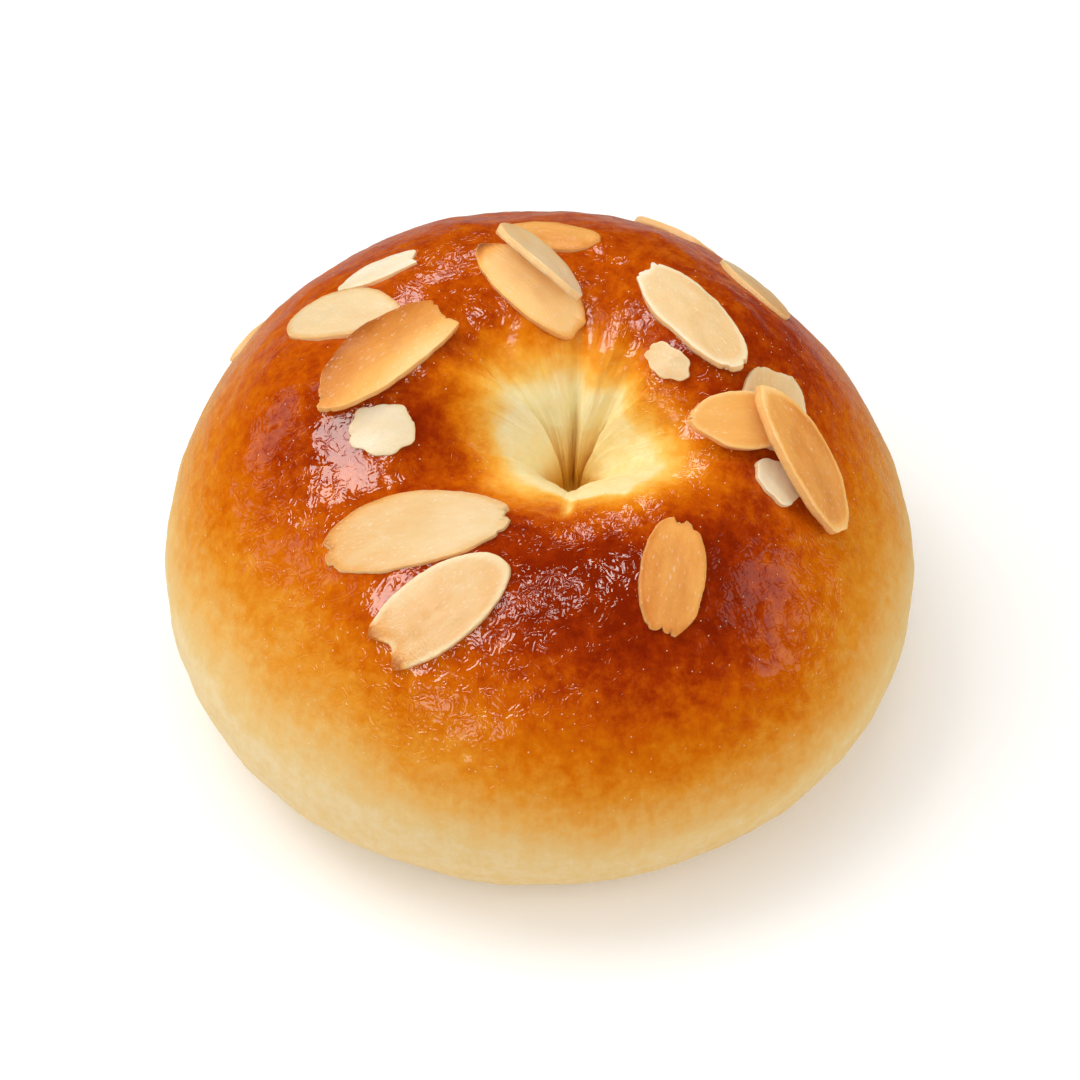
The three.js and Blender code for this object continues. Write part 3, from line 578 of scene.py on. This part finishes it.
def almondTree(material):
    tree = newTree("almondSlice", almondForm)
    add = partial(addNode, tree)
    group = add("NodeGroupInput").outputs
    level = add("FunctionNodeFloatToInt", {0: group["level"]})
    bend = add("GeometryNodeInputMeshEdgeAngle")
    sharp = add("FunctionNodeCompare", {0: bend, 1: creaseAngle}, operation="GREATER_THAN")
    crease = add("ShaderNodeMath", {0: sharp, 1: group["rimCrease"]}, operation="MULTIPLY")
    mesh = add("GeometryNodeSubdivisionSurface", {"Mesh": group["Geometry"], "Level": level,
                                                  "Edge Crease": crease})
    normal = add("GeometryNodeInputNormal")
    up = add("GeometryNodeInputNamedAttribute", {"Name": "up"}, data_type="FLOAT_VECTOR")
    rim = add("GeometryNodeInputNamedAttribute", {"Name": "rim"}, data_type="FLOAT")
    local = add("GeometryNodeInputNamedAttribute", {"Name": "slice"}, data_type="FLOAT_VECTOR")
    facing = add("ShaderNodeVectorMath", {0: normal, 1: up}, operation="DOT_PRODUCT").outputs["Value"]
    # the slice settles into the glaze, its underside a little more
    under = add("ShaderNodeMapRange", {0: facing, 1: -0.2, 2: -0.7})
    sink = add("ShaderNodeMath", {0: under, 1: group["sink"], 2: group["settle"]}, operation="MULTIPLY_ADD")
    sink = add("ShaderNodeMath", {0: sink, 1: -mm}, operation="MULTIPLY")
    drop = add("ShaderNodeVectorMath", {0: up, "Scale": sink}, operation="SCALE")
    mesh = add("GeometryNodeSetPosition", {"Geometry": mesh, "Offset": drop})
    # noises about zero
    rimSpace = add("ShaderNodeVectorMath", {0: local, 1: (1, 1, rimStretch)}, operation="MULTIPLY")
    fibre = add("ShaderNodeVectorMath", {0: local, 1: (fibreStretch, 1, 1)}, operation="MULTIPLY")
    noises = {}
    for kind, space, detail in (("nick", rimSpace, 2), ("crack", rimSpace, 0), ("grain", fibre, 2),
                                ("wave", local, 1)):
        noiseScale = add("ShaderNodeMath", {0: 1, 1: group[kind + "Size"]}, operation="DIVIDE")
        noise = add("ShaderNodeTexNoise", {"Vector": space, "Scale": noiseScale, "Detail": detail})
        noises[kind] = add("ShaderNodeMath", {0: noise, 1: 0.5}, operation="SUBTRACT")
    # nicked rim, with cracks at the two ends
    out = add("GeometryNodeInputNamedAttribute", {"Name": "out"}, data_type="FLOAT_VECTOR")
    tip = add("GeometryNodeInputNamedAttribute", {"Name": "tip"}, data_type="FLOAT")
    nicks = add("ShaderNodeMath", {0: noises["nick"], 1: group["nickDepth"]}, operation="MULTIPLY")
    cracks = add("ShaderNodeMath", {0: noises["crack"]}, operation="ABSOLUTE")
    cracks = add("ShaderNodeMapRange", {0: cracks, 1: 0, 2: crackWidth, 3: 1, 4: 0})
    cracks = add("ShaderNodeMath", {0: cracks, 1: tip}, operation="MULTIPLY")
    cracks = add("ShaderNodeMath", {0: cracks, 1: group["crackDepth"]}, operation="MULTIPLY")
    rough = add("ShaderNodeMath", {0: nicks, 1: cracks}, operation="SUBTRACT")
    edge = add("ShaderNodeMapRange", {0: rim, 1: nickedRim, 2: 1})
    rough = add("ShaderNodeMath", {0: rough, 1: edge}, operation="MULTIPLY")
    rough = add("ShaderNodeMath", {0: rough, 1: mm}, operation="MULTIPLY")
    pull = add("ShaderNodeVectorMath", {0: out, "Scale": rough}, operation="SCALE")
    mesh = add("GeometryNodeSetPosition", {"Geometry": mesh, "Offset": pull})
    # grained and waved faces
    grain = add("ShaderNodeMath", {0: noises["grain"], 1: group["grainHeight"]}, operation="MULTIPLY")
    uneven = add("ShaderNodeMath", {0: noises["wave"], 1: group["waveHeight"], 2: grain},
                 operation="MULTIPLY_ADD")
    uneven = add("ShaderNodeMath", {0: uneven, 1: mm}, operation="MULTIPLY")
    push = add("ShaderNodeVectorMath", {0: normal, "Scale": uneven}, operation="SCALE")
    mesh = add("GeometryNodeSetPosition", {"Geometry": mesh, "Offset": push})
    # how much a spot lies on the cut side, for the material
    flat = add("ShaderNodeMath", {0: facing}, operation="ABSOLUTE")
    side = add("ShaderNodeMapRange", {0: flat, 1: 0.85, 2: 0.3, 3: 0, 4: 1})
    mesh = add("GeometryNodeStoreNamedAttribute", {"Geometry": mesh, "Name": "side", "Value": side},
               data_type="FLOAT", domain="POINT")
    mesh = add("GeometryNodeSetShadeSmooth", {"Geometry": mesh})
    mesh = add("GeometryNodeRealizeInstances", {"Geometry": mesh})
    mesh = add("GeometryNodeSetMaterial", {"Geometry": mesh, "Material": material})
    add("NodeGroupOutput", {0: mesh})
    return tree


almondLooks = {
    # size in mm, stretch along the slice, detail, roughness, share of the browning
    "noises": {"fibre": (0.45, 0.2, 3, 0.6, 0.08), "grain": (0.28, 1, 2, 0.5, 0.07),
               "blotch": (2.4, 0.4, 4, 0.6, 0.4)},
    "rimBand": (0.55, 1), "sideGlowShare": 0.8,
    "burnt": (0.72, 0.92), "burntRim": 0.05, "burntSide": "#d98328",    # a burnt end keeps its rim brown
    "fleckSpacing": 0.42, "fleckStretch": 0.35, "fleckEdge": (0.05, 0.25), "fleckAndGlintShare": 0.3,
    "fleckAndGlintTone": "#fff6e6",
    "relief": 0.07, "reliefShare": 0.7,             # mm
    "softness": 0.4, "softDepth": 0.8,              # light that goes into the flesh, mm
}


def almondMaterial(slot):
    looks = almondLooks
    material = bpy.data.materials.new("cutAlmond_" + slot)
    material.use_nodes = True
    tree = material.node_tree
    tree.nodes.clear()
    add = partial(addNode, tree)
    local = add("ShaderNodeAttribute", attribute_name="slice").outputs["Vector"]
    rim = add("ShaderNodeAttribute", attribute_name="rim").outputs["Fac"]
    toast = add("ShaderNodeAttribute", attribute_name="toast").outputs["Fac"]
    rimToastAndHighlight = add("ShaderNodeAttribute", attribute_name="rimToastAndHighlight").outputs["Fac"]
    side = add("ShaderNodeAttribute", attribute_name="side").outputs["Fac"]
    browned = toast
    noises = {}
    for kind, (size, stretch, detail, roughness, share) in looks["noises"].items():
        space = add("ShaderNodeMapping", {"Vector": local, "Scale": (stretch, 1, 1)})
        noises[kind] = add("ShaderNodeTexNoise", {"Vector": space, "Scale": 1 / size, "Detail": detail,
                                                  "Roughness": roughness})
        shift = add("ShaderNodeMath", {0: noises[kind], 1: 0.5}, operation="SUBTRACT")
        browned = add("ShaderNodeMath", {0: shift, 1: share, 2: browned}, operation="MULTIPLY_ADD")
    edge = add("ShaderNodeMapRange", {0: rim, (1, 2): looks["rimBand"]}, interpolation_type="SMOOTHSTEP")
    burnt = add("ShaderNodeMapRange", {0: toast, (1, 2): looks["burnt"]})
    # a rim share above zero browns the rim, below zero paints a paler highlight along it
    rimShare = add("ShaderNodeMix", {0: burnt, 2: rimToastAndHighlight, 3: looks["burntRim"]})
    browned = add("ShaderNodeMath", {0: edge, 1: rimShare, 2: browned}, operation="MULTIPLY_ADD")
    tones = add("ShaderNodeValToRGB", {"Fac": browned})
    setRamp(tones, almondTones[slot])
    # painted light on the cut sides, and brown where an end is burnt
    sideGlowShare = add("ShaderNodeMath", {0: side, 1: looks["sideGlowShare"]}, operation="MULTIPLY")
    sideGlowAndToast = add("ShaderNodeMix", {0: burnt, 6: hexColor(almondSidesLitThrough[slot]),
                                     7: hexColor(looks["burntSide"])}, data_type="RGBA").outputs[2]
    color = add("ShaderNodeMix", {0: sideGlowShare, 6: tones, 7: sideGlowAndToast}, data_type="RGBA").outputs[2]
    # short white flecks along the fibres, partly the flesh's own and partly painted glints
    fleckSpace = add("ShaderNodeMapping", {"Vector": local, "Scale": (looks["fleckStretch"], 1, 1)})
    flecks = add("ShaderNodeTexVoronoi", {"Vector": fleckSpace, "Scale": 1 / looks["fleckSpacing"]})
    fleck = add("ShaderNodeMapRange", {0: flecks.outputs["Distance"], (1, 2): looks["fleckEdge"],
                                       3: looks["fleckAndGlintShare"], 4: 0})
    color = add("ShaderNodeMix", {0: fleck, 6: color, 7: hexColor(looks["fleckAndGlintTone"])},
                data_type="RGBA").outputs[2]
    relief = add("ShaderNodeMath", {0: noises["fibre"], 1: 0.5, 2: noises["grain"]}, operation="MULTIPLY_ADD")
    bump = add("ShaderNodeBump", {"Height": relief, "Strength": looks["reliefShare"],
                                  "Distance": looks["relief"] * mm})
    shader = add("ShaderNodeBsdfPrincipled", {
        "Base Color": color, "Roughness": 0.3, "Normal": bump, "IOR": 1.47, "Specular IOR Level": 0.2,
        "Subsurface Weight": looks["softness"], "Subsurface Radius": (1, 0.65, 0.4),
        "Subsurface Scale": looks["softDepth"] * mm})
    add("ShaderNodeOutputMaterial", {"Surface": shader})
    return material


slotOf = {part["node"]: part["material_slot"] for part in frame["record"]["subparts"]}
almondNames = sorted(name for name in frame["nodes"] if name.startswith("almond"))
almondTrees = {slot: almondTree(almondMaterial(slot)) for slot in almondTones}
almonds = []
for order, name in enumerate(almondNames):
    shell = bmesh.new()
    shell.from_mesh(frame["nodes"][name].data)
    bmesh.ops.remove_doubles(shell, verts=shell.verts, dist=mergeGap * mm)
    places = np.array([vert.co for vert in shell.verts])
    middle = places.mean(0)
    axes = np.linalg.svd(places - middle)[2]          # along, across and through the slice
    if axes[0][0] < 0:
        axes[0] = -axes[0]
    if axes[2] @ (middle - bunHeart) < 0:
        axes[2] = -axes[2]
    axes[1] = np.cross(axes[2], axes[0])
    local = (places - middle) @ axes.T / mm
    spread = local / np.ptp(local, axis=0)
    tipToast, leftToast, rightToast, rimToastAndHighlight, farToast, cracked = almondToast[name]
    along = (local[:, 0] - local[:, 0].min()) / np.ptp(local[:, 0])
    toast = np.interp(along, [0, tipToasted, 1], [tipToast, leftToast, rightToast])
    toast += farToast * spread[:, 1]
    outward = spread[:, :2] / (np.linalg.norm(spread[:, :2], axis=1, keepdims=True) + 1e-6)
    tip = np.interp(np.abs(spread[:, 0]), crackedEnds, [0, cracked])
    lift = np.interp(spread[:, 0], [-0.5, 0.5], almondLift.get(name, (0, 0)))
    for vert, rise in zip(shell.verts, lift):
        vert.co += Vector(axes[2] * rise * mm)
    local += order * patternStep
    rim = np.array([any(edge.calc_face_angle(0) > rimAngle for edge in vert.link_edges)
                    for vert in shell.verts])
    data = bpy.data.meshes.new(name + "_cut")
    shell.to_mesh(data)
    shell.free()
    data.materials.clear()
    vectors = {"slice": local, "up": np.tile(axes[2], (len(places), 1)), "out": outward @ axes[:2]}
    for label, values in vectors.items():
        layer = data.attributes.new(label, "FLOAT_VECTOR", "POINT")
        layer.data.foreach_set("vector", values.astype(np.float32).ravel())
    numbers = {"rim": rim, "tip": tip, "toast": toast, "rimToastAndHighlight": np.full(len(places), rimToastAndHighlight)}
    for label, values in numbers.items():
        layer = data.attributes.new(label, "FLOAT", "POINT")
        layer.data.foreach_set("value", values.astype(np.float32))
    almond = bpy.data.objects.new(name + "_cut", data)
    bpy.context.scene.collection.objects.link(almond)
    bakeTree(almond, almondTrees[slotOf[name]], almondForm)
    almonds.append((name, almond))
print("almonds:", len(almonds), "with", sum(len(almond.data.polygons) for _, almond in almonds), "faces")

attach(bun, "root")
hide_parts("bun")
for name, almond in almonds:
    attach(almond, "root")
    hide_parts(name)

# Stage: pale floor, soft lights and a long lens at the photograph's angle
stageLooks = {
    "floor": "#f7f6f4", "floorGlow": 0.12, "floorRoughness": 0.9, "floorReach": 3000,
    "world": "#ffffff", "worldStrength": 0.48,
    "gloss": (0.03, 0.4), "tableDip": (-0.1, -0.5),     # what the glaze mirrors of the room and of the table
    "cameraDistance": 420, "cameraElevation": 48, "cameraAbout": 20, "cameraAim": 17.1, "lens": 125.8,
    "glintTint": "#fffaf4", "lightAim": 25,
    "lights": {       # azimuth, elevation, distance mm, size mm, watts, seen by the dough, seen by the glaze
        "overLeft": (165, 58, 650, 360, 1.65, True, False),
        "over": (95, 76, 650, 400, 0.8, True, False),
        "leftGlint": (-138, 54, 650, 260, 3.4, False, True),
        "overGlint": (-62, 78, 650, 130, 1.1, False, True),
        "backGlint": (103, 39, 650, 140, 0.7, False, True),
        "frontGlint": (-95, 64, 650, 90, 0.4, False, True),
        "lowGlint": (-114, 26, 650, 130, 0.3, False, True),
        "sideGlint": (172, 24, 650, 240, 0.35, False, True),
        "left": (205, 30, 700, 400, 0.8, True, False),
        "right": (-20, 28, 700, 300, 0.8, True, False),
        "rightGlint": (-5, 18, 700, 240, 0.3, False, True),
        "front": (-85, 50, 800, 500, 0.7, True, False),
    },
}
floorMesh = bpy.data.meshes.new("floor")
reach = stageLooks["floorReach"] * mm
floorCorners = [(-reach, -reach, 0), (reach, -reach, 0), (reach, reach, 0), (-reach, reach, 0)]
floorMesh.from_pydata(floorCorners, [], [(0, 1, 2, 3)])
floor = bpy.data.objects.new("floor", floorMesh)
bpy.context.scene.collection.objects.link(floor)
floorMaterial = bpy.data.materials.new("paleFloor")
floorMaterial.use_nodes = True
floorShader = floorMaterial.node_tree.nodes["Principled BSDF"]
floorShader.inputs["Base Color"].default_value = hexColor(stageLooks["floor"])
floorShader.inputs["Roughness"].default_value = stageLooks["floorRoughness"]
floorShader.inputs["Emission Color"].default_value = hexColor(stageLooks["floor"])
floorShader.inputs["Emission Strength"].default_value = stageLooks["floorGlow"]
floorMesh.materials.append(floorMaterial)
floor.visible_glossy = False

world = bpy.data.worlds.new("softRoom")
bpy.context.scene.world = world
world.use_nodes = True
worldTree = world.node_tree
# the room is white to light by, but the glaze mirrors it as dim above and paler below, where the table is
lightPath = addNode(worldTree, "ShaderNodeLightPath")
room = addNode(worldTree, "ShaderNodeTexCoord").outputs["Generated"]
direction = addNode(worldTree, "ShaderNodeSeparateXYZ", {0: room})
mirrored = addNode(worldTree, "ShaderNodeMapRange", {
    0: direction.outputs["Z"], (1, 2): stageLooks["tableDip"], (3, 4): stageLooks["gloss"]})
strength = addNode(worldTree, "ShaderNodeMix", {0: lightPath.outputs["Is Glossy Ray"],
                                                2: stageLooks["worldStrength"], 3: mirrored})
worldTree.nodes["Background"].inputs["Color"].default_value = hexColor(stageLooks["world"])
worldTree.links.new(strength.outputs[0], worldTree.nodes["Background"].inputs["Strength"])


def fromAngles(azimuth, elevation, distance, aim):
    a, e = math.radians(azimuth), math.radians(elevation)
    return Vector((math.cos(a) * math.cos(e), math.sin(a) * math.cos(e), math.sin(e))) * distance + aim


aim = Vector((0, 0, stageLooks["lightAim"] * mm))
for name, (azimuth, elevation, distance, size, watts, onDough, onGlaze) in stageLooks["lights"].items():
    lamp = bpy.data.lights.new(name, "AREA")
    lamp.size = size * mm
    lamp.energy = watts
    lamp.color = hexColor(stageLooks["glintTint"] if onGlaze else "#ffffff")[:3]
    light = bpy.data.objects.new(name, lamp)
    light.location = fromAngles(azimuth, elevation, distance * mm, aim)
    light.visible_diffuse = onDough
    light.visible_glossy = onGlaze
    light.rotation_euler = (aim - light.location).to_track_quat("-Z", "Y").to_euler()
    bpy.context.scene.collection.objects.link(light)

lens = bpy.data.cameras.new("camera")
lens.lens = stageLooks["lens"]
lens.sensor_width = 36
lens.clip_start = 0.01
camera = bpy.data.objects.new("camera", lens)
camera.location = fromAngles(-90, stageLooks["cameraElevation"], stageLooks["cameraDistance"] * mm,
                             Vector((0, 0, stageLooks["cameraAbout"] * mm)))
look = Vector((0, 0, stageLooks["cameraAim"] * mm)) - camera.location
camera.rotation_euler = look.to_track_quat("-Z", "Y").to_euler()
bpy.context.scene.collection.objects.link(camera)
bpy.context.scene.camera = camera
bpy.context.scene.view_settings.view_transform = "Standard"
print("stage set")
